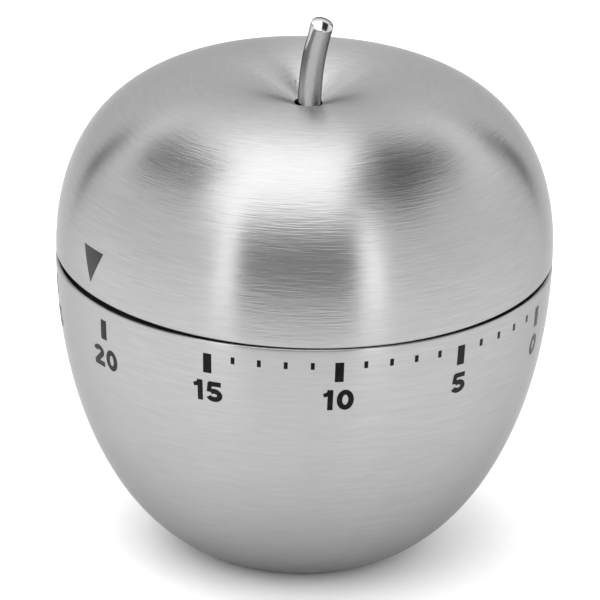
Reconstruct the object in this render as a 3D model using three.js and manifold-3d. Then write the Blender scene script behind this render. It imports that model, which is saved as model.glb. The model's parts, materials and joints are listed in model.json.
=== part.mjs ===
// Apple-shaped mechanical kitchen timer, 60 minutes, clockwork with a single-stroke bell.
//
// Millimetres, +Z up. The origin is the centre of the foot's resting face, and the dial turns about +Z.
// The lower half stands still: a steel shell on a moulded housing, which holds the movement and the bell.
// The upper half is the dial: a steel dome with a bent stem, on a moulded liner pushed onto the main shaft.
// -Y is the front of the scale.
import * as THREE from "three";
import { mergeVertices } from "three/addons/utils/BufferGeometryUtils.js";
import Module from "manifold-3d";

const wasm = await Module();
wasm.setup();

// ---------------------------------------------------------------- driving dimensions

// Outline of the apple.
const bodyRadius = 30; // at the widest
const seamHeight = 37.1; // the split between the two halves
const widestAboveSeam = 1.33;
const seamGap = 0.4;
const crestAboveSeam = 22.2; // the highest ring of the dome, round the dimple
const crestRadius = 11.9;
const dimpleDepth = 2.8;
const undersideRadius = 13; // where the bowl turns under
const undersideHeight = 0.5;
const undersideSlope = THREE.MathUtils.degToRad(24);
const sheet = 0.5; // steel of both shells
const baseOpening = 12.2; // radius of the hole in the bowl's bottom

// Stem.
const stemRadius = 1.4;
const stemHoleClearance = 0.3;
const stemAside = 0.15; // the stem stands a little off the middle of its hole
const stemRise = 10.65; // height above the dimple's floor
const stemBend = THREE.MathUtils.degToRad(23);
const stemBearing = THREE.MathUtils.degToRad(-54); // the way that it leans
const stemThreadRadius = 1.25;
const stemThreadLength = 4.6;
const stemNutHeight = 1.8;
const stemNutAcross = 4.6; // across its corners
const stemWasherHeight = 0.4;
const stemWasherRadius = 3;
const stemWasherDrop = 0.5; // the rising sheet meets the washer at its rim

// Moulded parts.
const wall = 1.5;
const shellGap = 0.15; // between a shell and the moulding pressed into it
const runningGap = 0.35; // between the dial and what stands still
const lipRise = 2.1; // the housing's lip behind the seam
const floorHeight = 2.3;
const floorThickness = 1.5;
const seatGap = 0.06; // between pieces that rest on one another
const skirtHeight = 7.6; // of the dial's liner
const hubWall = 2.4;
const hubToPlate = 3.2; // from the movement up to the hub
const hubCap = 0.5; // above the end of the shaft

// Base cover and foot.
const coverRadius = 11.8;
const coverThickness = 1.7;
const coverLift = 0.35; // the cover's clearance above the table
const footInner = 9.3;
const footOuter = 11.3;
const footThickness = 1;
const baseScrewCircle = 6.9;
const baseScrewRadius = 0.75;
const baseScrewHead = 1.5;
const baseScrewLength = 4.1;

// Movement, in its own frame: the underside of the lower plate on the main axis is its origin.
const plateRadius = 24;
const upperPlateRadius = 22.9;
const plateThickness = 0.9;
const plateSpacing = 12.3; // clear height between the plates
const bellToFloor = 0.6; // from the housing's floor to the bell's screw
const plateToWall = 0.35;
const pillarCircle = 21;
const pillarRadius = 1.6;
const pillarAngles = [95, 200, 320];
const housingScrewCircle = 22;
const housingScrewAngles = [30, 150, 290];
const postRadius = 2.4; // of the housing's posts under the lower plate
const screwRadius = 0.8;
const housingScrewLength = 5.5;
const plateScrewLength = 4;
const bellScrewLength = 4.2;
const screwHead = 1.7;
const screwHeadHeight = 1.1;
const shaftRadius = 2;
const shaftFlat = 1.5; // from the axis to the flat
const shaftCollar = shaftRadius + 1.3; // of the wheels and pieces round the shaft
const arborRadius = 0.8;
const slimArborRadius = 0.7;
const pivotRadius = 0.5;
const pivotGap = 0.1;
const fixedGap = 0.05; // between a wheel and the arbor that carries it

// Going train. Each stage is a wheel and the pinion that it drives.
const stages = {
  great: { wheel: 72, pinion: 8, module: 0.3 },
  second: { wheel: 64, pinion: 8, module: 0.28 },
  third: { wheel: 60, pinion: 9, module: 0.28 },
};
const thirdPolar = 13.5; // distances of the arbors from the main axis
const escapePolar = 14.2;
const palletPolar = 14.4;
const balancePolar = 13.2;
const escapeTeeth = 15;
const escapeRadius = 3.5;
const palletPin = 0.2;
const palletDrop = 0.08; // clearance of both pins over the tooth tips in mid swing
const palletSpan = THREE.MathUtils.degToRad(42); // half the angle between the pins, seen from the wheel
const forkReach = 7; // pallet arbor to balance staff
const impulseRadius = 1.3;
const balanceGap = 0.3; // between the balance's rim and the pallet arbor
const springRadius = 9.5; // of the mainspring's last coil

// Heights in the movement's frame, as [bottom, top].
const springLevel = [1.4, 5.2];
const fingerLevel = [5.7, 6.5];
const greatLevel = [7, 8];
const ratchetLevel = [8.3, 9.2];
const secondLevel = [10.2, 10.9];
const thirdLevel = [11.6, 12.3];
const escapeLevel = [2.6, 3.2];
const palletLevel = [3.6, 4.3];
const rollerLevel = [4.8, 5.3];
const balanceLevel = [10, 10.8];
const hairspringLevel = [11.3, 11.9];

// Bell and hammer.
const bellRadius = 13.5;
const bellRim = -5.5; // height of the bell's mouth in the movement's frame
const bellDepth = 7;
const bellSheet = 0.8;
const bellPostRadius = 2.6;
const hammerPolar = 16.5;
const hammerAngle = 235;
const hammerHeadRadius = 1.7;
const hammerHeadAngle = 275;
const fingerReach = 5.7;
const fingerToTail = 0.25; // the finger passes this far short of the hammer's tail
const dialToZero = 126; // degrees that the dial turns from where it is drawn to the zero mark
const hammerStroke = 0.7; // gap between the head and the bell at rest
const armLevel = [-3.7, -2.7];

// Facets.
const shellSides = 40;
const innerSides = 24;
const bellSides = 24;
const fineSides = 20;
const stemSides = 14;
const smallSides = 10;
const facetRoom = 0.12; // between two turned pieces with different facets

// ---------------------------------------------------------------- materials

const brushedSteel = new THREE.MeshStandardMaterial({ color: 0xb4b4b4, roughness: 0.32, metalness: 1 });
const polishedSteel = new THREE.MeshStandardMaterial({ color: 0xc4c4c4, roughness: 0.12, metalness: 1 });
const bluedSteel = new THREE.MeshStandardMaterial({ color: 0x3d4450, roughness: 0.3, metalness: 1 });
const screwSteel = new THREE.MeshStandardMaterial({ color: 0x9a9a9c, roughness: 0.35, metalness: 1 });
const brass = new THREE.MeshStandardMaterial({ color: 0xc8a04c, roughness: 0.3, metalness: 1 });
const blackPlastic = new THREE.MeshStandardMaterial({ color: 0x141414, roughness: 0.55, metalness: 0 });
const nylon = new THREE.MeshStandardMaterial({ color: 0xe6e2d6, roughness: 0.5, metalness: 0 });
const rubber = new THREE.MeshStandardMaterial({ color: 0x1b1b1b, roughness: 0.85, metalness: 0 });

// ---------------------------------------------------------------- solids

// A closed solid from a three.js geometry, turned the right way out.
function solid(geometry) {
  const bare = new THREE.BufferGeometry().setAttribute("position", geometry.getAttribute("position"));
  if (geometry.index) bare.setIndex(geometry.index);
  const merged = mergeVertices(bare, 1e-5);
  const corners = [];
  for (let i = 0; i < merged.index.count; i += 3) {
    const [a, b, c] = [0, 1, 2].map((k) => merged.index.getX(i + k));
    if (a !== b && b !== c && c !== a) corners.push(a, b, c);
  }
  const build = (triVerts) =>
    new wasm.Manifold(
      new wasm.Mesh({
        numProp: 3,
        vertProperties: new Float32Array(merged.getAttribute("position").array),
        triVerts: new Uint32Array(triVerts),
      }),
    );
  const made = build(corners);
  if (made.volume() > 0) return made;
  for (let i = 0; i < corners.length; i += 3) [corners[i], corners[i + 1]] = [corners[i + 1], corners[i]];
  return build(corners);
}

// A three.js geometry from a solid.
function geometryOf(made) {
  const mesh = made.getMesh();
  const positions = new Float32Array(mesh.numVert * 3);
  for (let i = 0; i < mesh.numVert; i++)
    for (let k = 0; k < 3; k++) positions[3 * i + k] = mesh.vertProperties[i * mesh.numProp + k];
  const geometry = new THREE.BufferGeometry();
  geometry.setAttribute("position", new THREE.BufferAttribute(positions, 3));
  geometry.setIndex(new THREE.BufferAttribute(mesh.triVerts, 1));
  geometry.computeVertexNormals();
  return geometry;
}

const join = (...solids) => solids.reduce((all, next) => all.add(next));
const cut = (from, ...tools) => tools.reduce((left, tool) => left.subtract(tool), from);

// A profile of [radius, height] points turned about +Z.
function turned(profile, sides = fineSides) {
  const points = profile.map(([r, z]) => new THREE.Vector2(r, z));
  if (profile[0][0] !== 0) points.push(points[0].clone());
  return solid(new THREE.LatheGeometry(points, sides).rotateX(Math.PI / 2));
}

// A cylinder about +Z between two heights.
function rod(radius, bottom, top, sides = smallSides) {
  return turned(
    [
      [0, bottom],
      [radius, bottom],
      [radius, top],
      [0, top],
    ],
    sides,
  );
}

// A ring about +Z between two heights.
function ring(inner, outer, bottom, top, sides = fineSides) {
  return turned(
    [
      [inner, bottom],
      [outer, bottom],
      [outer, top],
      [inner, top],
    ],
    sides,
  );
}

// A flat outline of [x, y] points raised between two heights, with holes of the same kind.
function raised(outline, [bottom, top], holes = []) {
  const shape = new THREE.Shape(outline.map(([x, y]) => new THREE.Vector2(x, y)));
  for (const hole of holes) shape.holes.push(new THREE.Path(hole.map(([x, y]) => new THREE.Vector2(x, y))));
  const geometry = new THREE.ExtrudeGeometry(shape, { depth: top - bottom, bevelEnabled: false });
  return solid(geometry.translate(0, 0, bottom));
}

const degrees = THREE.MathUtils.degToRad;
const polar = (radius, angle) => [radius * Math.cos(angle), radius * Math.sin(angle)];
const circle = (radius, sides, [x, y] = [0, 0]) =>
  Array.from({ length: sides }, (_, i) => {
    const [a, b] = polar(radius, (2 * Math.PI * i) / sides);
    return [a + x, b + y];
  });
const moved = (made, [x, y], z = 0) => made.translate([x, y, z]);

// The angle at the main axis between two arbors, from their distances to it and to each other.
const swing = (a, b, apart) => Math.acos((a * a + b * b - apart * apart) / (2 * a * b));

// ---------------------------------------------------------------- outline of the apple

const widestHeight = seamHeight + widestAboveSeam;
const crestHeight = seamHeight + crestAboveSeam;
const dimpleHeight = crestHeight - dimpleDepth;
const stemHole = stemRadius + stemHoleClearance;

const bezier = (points, count) =>
  new THREE.CubicBezierCurve(...points.map(([r, z]) => new THREE.Vector2(r, z)))
    .getPoints(count)
    .map((p) => [p.x, p.y]);

// The bowl's outside, from the underside up to the widest ring.
function bowlOutline(count) {
  const fullness = 10.4; // how far the curve holds the underside's slope
  const flank = 0.507 * (widestHeight - undersideHeight);
  return bezier(
    [
      [undersideRadius, undersideHeight],
      [
        undersideRadius + fullness * Math.cos(undersideSlope),
        undersideHeight + fullness * Math.sin(undersideSlope),
      ],
      [bodyRadius, widestHeight - flank],
      [bodyRadius, widestHeight],
    ],
    count,
  );
}

// The dome's outside, from the widest ring up to the crest.
function domeOutline(count) {
  const rise = crestHeight - widestHeight;
  return bezier(
    [
      [bodyRadius, widestHeight],
      [bodyRadius, widestHeight + 0.713 * rise],
      [crestRadius + 0.505 * (bodyRadius - crestRadius), crestHeight],
      [crestRadius, crestHeight],
    ],
    count,
  );
}

// The dimple, from the crest down to the stem's hole.
function dimpleOutline(count) {
  const run = crestRadius - stemHole;
  return bezier(
    [
      [crestRadius, crestHeight],
      [crestRadius - 0.42 * run, crestHeight],
      [stemHole + 0.27 * run, dimpleHeight + 0.42 * dimpleDepth],
      [stemHole, dimpleHeight],
    ],
    count,
  );
}

// The same line moved square to itself, to its left.
function offset(line, distance) {
  return line.map((_, i) => {
    const [a, b] = [line[Math.max(i - 1, 0)], line[Math.min(i + 1, line.length - 1)]];
    const [dr, dz] = [b[0] - a[0], b[1] - a[1]];
    const length = Math.hypot(dr, dz);
    return [line[i][0] - (distance * dz) / length, line[i][1] + (distance * dr) / length];
  });
}

// Where a rising line crosses a height.
function radiusAt(line, height) {
  const i = line.findIndex(([, z], n) => n > 0 && z >= height);
  const [[r0, z0], [r1, z1]] = [line[i - 1], line[i]];
  return r0 + ((r1 - r0) * (height - z0)) / (z1 - z0);
}

// A rising line between two heights, with its ends set on them.
const between = (line, low, high) => [
  [radiusAt(line, low), low],
  ...line.filter(([, z]) => z > low + 0.05 && z < high - 0.05),
  [radiusAt(line, high), high],
];

// ---------------------------------------------------------------- shells

const bowlSteps = 8;
const domeSteps = 8;
const dimpleSteps = 4;
const innerSteps = 5;
function lowerShell() {
  const top = seamHeight - seamGap / 2;
  const rim = [baseOpening, undersideHeight - 0.22];
  const outside = [rim, ...between(bowlOutline(bowlSteps), undersideHeight + 0.01, top)];
  const lining = offset([rim, ...bowlOutline(innerSteps)], sheet);
  const inside = between(lining, undersideHeight + sheet * 0.9, top);
  return turned([...outside, ...inside.reverse(), [baseOpening, rim[1] + sheet]], shellSides);
}

function upperShell() {
  const bottom = seamHeight + seamGap / 2;
  const wholeLine = (bowl, dome, dimple) => [
    [radiusAt(bowlOutline(bowl), bottom), bottom],
    ...domeOutline(dome),
    ...dimpleOutline(dimple).slice(1),
  ];
  const outside = wholeLine(bowlSteps, domeSteps, dimpleSteps);
  const inside = offset(wholeLine(bowlSteps, innerSteps, dimpleSteps - 1), sheet);
  inside[0] = [inside[0][0], bottom];
  inside[inside.length - 1] = [stemHole, dimpleHeight - sheet * 1.1];
  return turned([...outside, ...inside.reverse()], shellSides);
}

// ---------------------------------------------------------------- moulded housing, base cover and foot

const housingOutside = offset(bowlOutline(innerSteps), sheet + shellGap + facetRoom);
const housingInside = offset(housingOutside, wall);
const floorTop = floorHeight + floorThickness;
const lipOuter = bodyRadius - sheet - runningGap;
const thirds = [0, 1, 2].map((n) => (n * 2 * Math.PI) / 3);
const sixths = [0, 1, 2, 3, 4, 5].map((n) => (n * Math.PI) / 3);

// The movement stands clear of the floor, and comes in the size whose lower plate fits the wall there.
function movementFit() {
  const hung = bellDepth - bellRim + screwHeadHeight;
  let size = 1;
  let height = 0;
  for (let round = 0; round < 12; round++) {
    height = floorTop + bellToFloor + hung * size;
    size = (radiusAt(housingInside, height) * Math.cos(Math.PI / innerSides) - plateToWall) / plateRadius;
  }
  return { size, height };
}

const { size: movementScale, height: movementOrigin } = movementFit();

function movementHousing() {
  const lipTop = seamHeight + lipRise;
  const wallTop = seamHeight - seamGap / 2 - 0.3;
  const outside = between(housingOutside, floorHeight, wallTop);
  const inside = between(housingInside, floorTop, wallTop).reverse();
  const skin = turned(
    [
      [0, floorHeight],
      ...outside,
      [lipOuter, wallTop + 0.2],
      [lipOuter, lipTop],
      [lipOuter - 1, lipTop],
      [lipOuter - 1, wallTop + 0.2],
      ...inside,
      [0, floorTop],
    ],
    innerSides,
  );
  const envelope = turned([[0, floorHeight], ...outside, [0, wallTop]], innerSides);
  const postTop = movementOrigin - seatGap;
  const postCircle = housingScrewCircle * movementScale;
  const postPlaces = housingScrewAngles.map((angle) => polar(postCircle, degrees(angle)));
  const posts = postPlaces.map((spot) => moved(rod(postRadius * movementScale, floorTop, postTop), spot));
  const pilotRadius = screwRadius * movementScale + fixedGap;
  const pilotBottom = postTop - housingScrewLength * movementScale;
  const pilots = postPlaces.map((spot) => moved(rod(pilotRadius, pilotBottom, postTop + 1), spot));
  const bosses = thirds.map((angle) =>
    moved(rod(2, floorHeight, floorHeight + 2.6), polar(baseScrewCircle, angle)),
  );
  const bossPilots = thirds.map((angle) =>
    moved(rod(baseScrewRadius + fixedGap, floorHeight - 1, floorHeight + 3), polar(baseScrewCircle, angle)),
  );
  const soundHoles = thirds.map((angle) =>
    moved(rod(1.6, floorHeight - 1, floorTop + 1), polar(baseScrewCircle, angle + Math.PI / 3)),
  );
  return cut(
    join(skin, ...posts.map((post) => post.intersect(envelope)), ...bosses),
    ...pilots,
    ...bossPilots,
    ...soundHoles,
  );
}

const coverTop = coverLift + coverThickness;

function baseCover() {
  const grooveTop = footThickness + seatGap;
  const disc = turned(
    [
      [0, coverLift],
      [footInner - seatGap, coverLift],
      [footInner - seatGap, grooveTop],
      [footOuter + seatGap, grooveTop],
      [footOuter + seatGap, coverLift],
      [coverRadius - 0.15, coverLift],
      [coverRadius, coverLift + 0.15],
      [coverRadius, coverTop],
      [0, coverTop],
    ],
    innerSides,
  );
  const holes = thirds.flatMap((angle) => [
    moved(rod(baseScrewRadius + 0.1, 0, coverTop + 1), polar(baseScrewCircle, angle)),
    moved(rod(baseScrewHead + 0.2, 0, coverLift + 0.9, fineSides), polar(baseScrewCircle, angle)),
  ]);
  const slot = (start, end, angle) =>
    raised(
      [
        [start, -0.6],
        [end, -0.6],
        [end + 0.35, 0],
        [end, 0.6],
        [start, 0.6],
        [start - 0.35, 0],
      ],
      [coverLift - 1, coverTop + 1],
    ).rotate([0, 0, THREE.MathUtils.radToDeg(angle)]);
  const slots = thirds.map((angle) => slot(2.4, 7.8, angle + Math.PI / 3));
  return cut(disc, ...holes, ...slots);
}

const footRing = () =>
  turned(
    [
      [footInner, 0],
      [footOuter - 0.15, 0],
      [footOuter, 0.15],
      [footOuter, footThickness],
      [footInner, footThickness],
    ],
    innerSides,
  );

// A screw with its head's underside at height 0 and its shank running down from it.
function screw(shank, head, headHeight, length, slots = 1) {
  const body = turned(
    [
      [0, -length],
      [shank, -length],
      [shank, 0],
      [head, 0],
      [head, headHeight * 0.7],
      [head * 0.8, headHeight],
      [0, headHeight],
    ],
    smallSides,
  );
  const arm = slots > 1 ? head * 0.62 : head + 1;
  const web = head * 0.15;
  const slot = raised(
    [
      [-arm, -web],
      [arm, -web],
      [arm, web],
      [-arm, web],
    ],
    [headHeight * 0.45, headHeight + 1],
  );
  return cut(body, ...Array.from({ length: slots }, (_, n) => slot.rotate([0, 0, 90 * n])));
}

// ---------------------------------------------------------------- dial

const hubBore = shaftRadius * movementScale + fixedGap;
const linerLine = [...bowlOutline(innerSteps).slice(-2, -1), ...domeOutline(innerSteps)];
const linerOutside = offset(linerLine, sheet + shellGap + facetRoom);
const linerInside = offset(linerOutside, wall);
const linerBottom = seamHeight + lipRise + 0.5;
const linerTop = linerBottom + skirtHeight;
const webTop = linerTop;
const webBottom = webTop - wall;
const shaftTop = webTop - hubCap;
const hubBottom = movementOrigin + (2 * plateThickness + plateSpacing + hubToPlate) * movementScale;

function dialLiner() {
  const line = linerOutside.filter(([, z], i, all) => i === 0 || z > all[i - 1][1]);
  const inner = linerInside.filter(([, z], i, all) => i === 0 || z > all[i - 1][1]);
  const skirt = turned(
    [
      ...between(line, linerBottom, linerTop),
      [0, linerTop],
      [0, webBottom],
      ...between(inner, linerBottom, webBottom).reverse(),
    ],
    innerSides,
  );
  const hub = rod(hubBore + hubWall, hubBottom, webTop, fineSides);
  const ribRadius = radiusAt(inner, webBottom) + 0.3;
  const ribs = sixths.map((angle) =>
    raised(
      [
        [hubBore + hubWall - 0.5, -0.6],
        [ribRadius, -0.6],
        [ribRadius, 0.6],
        [hubBore + hubWall - 0.5, 0.6],
      ],
      [webBottom - 2.6, webBottom + 0.5],
    ).rotate([0, 0, THREE.MathUtils.radToDeg(angle)]),
  );
  const windows = sixths.map((angle) =>
    moved(rod(3.2, webBottom - 1, webTop + 1, 16), polar(0.62 * ribRadius, angle + Math.PI / 6)),
  );
  const bore = rod(hubBore, hubBottom - 1, shaftTop + seatGap, fineSides);
  const flat = raised(
    [
      [shaftFlat * movementScale + fixedGap, -10],
      [10, -10],
      [10, 10],
      [shaftFlat * movementScale + fixedGap, 10],
    ],
    [hubBottom - 2, shaftTop + 1],
  );
  return cut(join(skirt, hub, ...ribs), ...windows, bore.subtract(flat));
}

// The stem: a straight threaded end through the dome, then one bend to its tip.
const stemFloor = dimpleHeight;

function stem() {
  const bendRadius = stemRise / Math.sin(stemBend);
  const [leanX, leanY] = polar(1, stemBearing);
  const along = Array.from({ length: 9 }, (_, i) => {
    const turn = (stemBend * i) / 8;
    const out = bendRadius * (1 - Math.cos(turn));
    return new THREE.Vector3(out * leanX, out * leanY, bendRadius * Math.sin(turn));
  });
  const start = new THREE.Vector3(0, 0, -sheet * 0.1);
  const path = new THREE.CatmullRomCurve3([start, ...along.slice(1)]);
  const section = new THREE.Shape(circle(stemRadius, stemSides).map(([x, y]) => new THREE.Vector2(x, y)));
  const sweep = { steps: 8, extrudePath: path, bevelEnabled: false };
  const bent = solid(new THREE.ExtrudeGeometry(section, sweep));
  const tip = path.getPointAt(1);
  const lean = path.getTangentAt(1);
  const cap = turned(
    [
      [0, -0.4],
      [stemRadius * 0.97, -0.4],
      [stemRadius * 0.97, 0],
      [stemRadius * 0.78, 0.32],
      [stemRadius * 0.4, 0.5],
      [0, 0.55],
    ],
    stemSides,
  );
  const tilt = new THREE.Matrix4()
    .makeTranslation(tip.x, tip.y, tip.z)
    .multiply(
      new THREE.Matrix4().makeRotationFromQuaternion(
        new THREE.Quaternion().setFromUnitVectors(new THREE.Vector3(0, 0, 1), lean),
      ),
    );
  const thread = rod(stemThreadRadius, -sheet - stemThreadLength, 0.5, stemSides);
  return join(bent, cap.transform(tilt.elements), thread);
}

// ---------------------------------------------------------------- movement: plates and fixings

// Arbor places, worked out from the gear sizes.
const apart = (stage) => ((stage.wheel + stage.pinion) / 2) * stage.module;
const secondAngle = 0;
const secondPolar = apart(stages.great);
const thirdAngle = secondAngle + swing(secondPolar, thirdPolar, apart(stages.second));
const escapeAngle = thirdAngle + swing(thirdPolar, escapePolar, apart(stages.third));
const pinTrack = escapeRadius + palletPin + palletDrop;
const palletApart = pinTrack / Math.cos(palletSpan);
const palletAngle = escapeAngle + swing(escapePolar, palletPolar, palletApart);
const balanceRadius = forkReach - arborRadius - balanceGap;
const balanceAngle = palletAngle + swing(palletPolar, balancePolar, forkReach);
const places = {
  main: [0, 0],
  second: polar(secondPolar, secondAngle),
  third: polar(thirdPolar, thirdAngle),
  escape: polar(escapePolar, escapeAngle),
  pallet: polar(palletPolar, palletAngle),
  balance: polar(balancePolar, balanceAngle),
  hammer: polar(hammerPolar, degrees(hammerAngle)),
};
const upperPlateBottom = plateThickness + plateSpacing;
const upperPlateTop = upperPlateBottom + plateThickness;
const arborBottom = 0.15;
const arborTop = upperPlateTop - 0.15;
const pivotHoles = ["second", "third", "escape", "pallet", "balance", "hammer"];
const springPostAngle = degrees(172);
const springPostPlace = polar(springRadius + 1.2, springPostAngle);
const studPlace = [places.balance[0] - 4.9, places.balance[1]];

const pillarPlaces = pillarAngles.map((angle) => polar(pillarCircle, degrees(angle)));
const housingScrewPlaces = housingScrewAngles.map((angle) => polar(housingScrewCircle, degrees(angle)));
const screwHoles = (spots) => spots.map((spot) => circle(screwRadius + fixedGap, smallSides, spot));

function lowerPlate() {
  const holes = [
    circle(1.2 + pivotGap, fineSides),
    ...pivotHoles.map((name) => circle(pivotRadius + pivotGap, smallSides, places[name])),
    ...screwHoles([...pillarPlaces, ...housingScrewPlaces]),
  ];
  return raised(circle(plateRadius, innerSides), [0, plateThickness], holes);
}

function upperPlate() {
  const holes = [
    circle(shaftRadius + pivotGap + 0.05, fineSides),
    ...pivotHoles.map((name) => circle(pivotRadius + pivotGap, smallSides, places[name])),
    ...screwHoles(pillarPlaces),
  ];
  return raised(circle(upperPlateRadius, innerSides), [upperPlateBottom, upperPlateTop], holes);
}

function pillar() {
  const [bottom, top] = [plateThickness + seatGap, upperPlateBottom - seatGap];
  const bore = (low, high) => rod(screwRadius + fixedGap, low, high);
  const foot = rod(screwRadius, seatGap, bottom + 0.5);
  return join(cut(rod(pillarRadius, bottom, top), bore(top - plateScrewLength - 0.2, top + 1)), foot);
}

// ---------------------------------------------------------------- movement: gears and arbors

// The outline of a toothed wheel. Widths are shares of the pitch, at the root and at the tip.
function toothed(teeth, module, { addendum, dedendum, root, tip }, phase = 0) {
  const pitchRadius = (teeth * module) / 2;
  const pitch = (2 * Math.PI) / teeth;
  const low = pitchRadius - dedendum * module;
  const high = pitchRadius + addendum * module;
  return Array.from({ length: teeth }, (_, i) => {
    const centre = phase + i * pitch;
    const crown = tip > 0 ? [-tip / 2, tip / 2] : [0];
    return [
      polar(low, centre - (root * pitch) / 2),
      ...crown.map((share) => polar(high, centre + share * pitch)),
      polar(low, centre + (root * pitch) / 2),
    ];
  }).flat();
}

const wheelTooth = { addendum: 1.2, dedendum: 1.2, root: 0.66, tip: 0 };
const leafTooth = { addendum: 0.75, dedendum: 1.4, root: 0.44, tip: 0.18 };

// The windows between a wheel's spokes.
function crossings(count, inner, outer, spoke) {
  return Array.from({ length: count }, (_, i) => {
    const [from, to] = [(2 * Math.PI * i) / count, (2 * Math.PI * (i + 1)) / count];
    const arc = (radius, a, b, steps) =>
      Array.from({ length: steps + 1 }, (_, n) => polar(radius, a + ((b - a) * n) / steps));
    const [wide, narrow] = [spoke / 2 / outer, spoke / 2 / inner];
    return [...arc(outer, from + wide, to - wide, 4), ...arc(inner, to - narrow, from + narrow, 2)];
  });
}

// A train wheel with a tooth facing the pinion that it drives.
function trainWheel(stage, level, bore, facing, hub, sides = smallSides) {
  const pitchRadius = (stage.wheel * stage.module) / 2;
  const rim = pitchRadius - (wheelTooth.dedendum + 1.6) * stage.module;
  const blank = raised(toothed(stage.wheel, stage.module, wheelTooth, facing), level, [circle(bore, sides)]);
  const windows = crossings(5, hub, rim, 1.1).map((outline) => raised(outline, overlapWith(level)));
  return { blank, windows };
}

// An arbor with its pinion cut from the same steel, a space facing the wheel that drives it.
function pinionArbor(stage, level, facing, radius) {
  const leaves = raised(
    toothed(stage.pinion, stage.module, leafTooth, facing + Math.PI - Math.PI / stage.pinion),
    level,
  );
  return join(
    rod(pivotRadius, arborBottom, arborTop),
    rod(radius, plateThickness + 0.3, upperPlateBottom - 0.3),
    leaves,
  );
}

const bearing = (from, to) => Math.atan2(places[to][1] - places[from][1], places[to][0] - places[from][0]);
const overlapWith = ([bottom, top]) => [bottom - 0.25, top + 0.25];

// The escape wheel: raked, pointed teeth, placed so that both pallet pins swing into spaces.
const palletBearing = bearing("escape", "pallet");

function escapeWheel() {
  const pitch = (2 * Math.PI) / escapeTeeth;
  const phase = palletBearing + palletSpan + pitch / 4;
  const depth = 1;
  const outline = Array.from({ length: escapeTeeth }, (_, i) => {
    const tip = phase + i * pitch;
    return [
      polar(escapeRadius - depth, tip - 0.3 * pitch),
      polar(escapeRadius, tip - 0.03 * pitch),
      polar(escapeRadius, tip + 0.03 * pitch),
      polar(escapeRadius - depth, tip + 0.16 * pitch),
    ];
  }).flat();
  const windows = crossings(4, 1.25, 2.05, 0.5);
  return raised(outline, escapeLevel, [circle(arborRadius + fixedGap, smallSides), ...windows]);
}

const shaftEnd = (shaftTop - movementOrigin) / movementScale;

const shaft = () =>
  cut(
    turned(
      [
        [0, -0.3],
        [1.2, -0.3],
        [1.2, plateThickness + 0.2],
        [shaftRadius, plateThickness + 0.2],
        [shaftRadius, shaftEnd - 0.3],
        [shaftRadius - 0.3, shaftEnd],
        [0, shaftEnd],
      ],
      fineSides,
    ),
    raised(
      [
        [shaftFlat, -5],
        [5, -5],
        [5, 5],
        [shaftFlat, 5],
      ],
      [upperPlateTop + hubToPlate - 0.5, shaftEnd + 1],
    ),
  );

// The ratchet on the shaft drives the great wheel through the click as the spring runs down.
const ratchetTeeth = 12;
const ratchetDepth = 0.8;
const ratchetRadius = shaftRadius + 2.2;

function ratchetWheel() {
  const pitch = (2 * Math.PI) / ratchetTeeth;
  const outline = Array.from({ length: ratchetTeeth }, (_, i) => {
    const face = i * pitch - degrees(2);
    return [polar(ratchetRadius, face), polar(ratchetRadius - ratchetDepth, face + degrees(1))];
  }).flat();
  return raised(outline, ratchetLevel, [circle(shaftRadius + fixedGap, fineSides)]);
}

const rivetRadius = 0.55;
const clickPivot = [ratchetRadius + 1.2, 6];
const clickSpringFoot = [ratchetRadius + 4, -1.4];

function click() {
  const [x, y] = clickPivot;
  const pawl = raised(
    [
      [ratchetRadius - ratchetDepth + 0.26, 0.12],
      [ratchetRadius + 0.5, -0.05],
      [x + 1.15, y - 1],
      [x, y + 0.6],
      [x - 1.15, y - 1],
      [ratchetRadius + 0.15, 1.6],
    ],
    ratchetLevel,
  );
  const knuckle = moved(rod(1.3, ...ratchetLevel), clickPivot);
  const bore = rod(rivetRadius + pivotGap, ratchetLevel[0] - 1, ratchetLevel[1] + 1);
  return cut(join(pawl, knuckle), moved(bore, clickPivot));
}

const clickRivet = () =>
  moved(
    join(
      rod(rivetRadius, greatLevel[0] + 0.1, ratchetLevel[1] + 0.15),
      rod(0.85, ratchetLevel[1] + 0.1, ratchetLevel[1] + 0.4),
    ),
    clickPivot,
  );

// A leaf on the great wheel that presses on the click's back.
function clickSpring() {
  const [bottom, top] = [ratchetLevel[0], ratchetLevel[1] - 0.2];
  const [x, y] = clickSpringFoot;
  const foot = moved(rod(0.7, greatLevel[1] + seatGap, top), clickSpringFoot);
  const leaf = raised(
    [
      [x - 0.1, y - 0.5],
      [x + 0.2, y - 0.4],
      [x - 1.05, y + 4],
      [x - 1.7, y + 4.8],
      [x - 1.85, y + 4.6],
      [x - 1.3, y + 3.9],
    ],
    [bottom + 0.1, top - 0.1],
  );
  return join(foot, leaf);
}

function tripFinger() {
  const collar = rod(shaftCollar, ...fingerLevel, fineSides);
  const finger = raised(
    [
      [shaftRadius + 0.6, -0.9],
      [fingerReach - 0.2, -0.5],
      [fingerReach, 0],
      [fingerReach - 0.2, 0.5],
      [shaftRadius + 0.6, 0.9],
    ],
    fingerLevel,
  );
  const bore = rod(shaftRadius + fixedGap, fingerLevel[0] - 1, fingerLevel[1] + 1, fineSides);
  return cut(join(collar, finger), bore);
}

// A flat spiral strip wound between two radii.
function spiral(inner, outer, turns, thickness, level, start, stepsPerTurn) {
  const steps = Math.round(turns * stepsPerTurn);
  const side = (shift) =>
    Array.from({ length: steps + 1 }, (_, i) =>
      polar(inner + ((outer - inner) * i) / steps + shift, start + (2 * Math.PI * turns * i) / steps),
    );
  return raised([...side(thickness / 2), ...side(-thickness / 2).reverse()], level);
}

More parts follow.
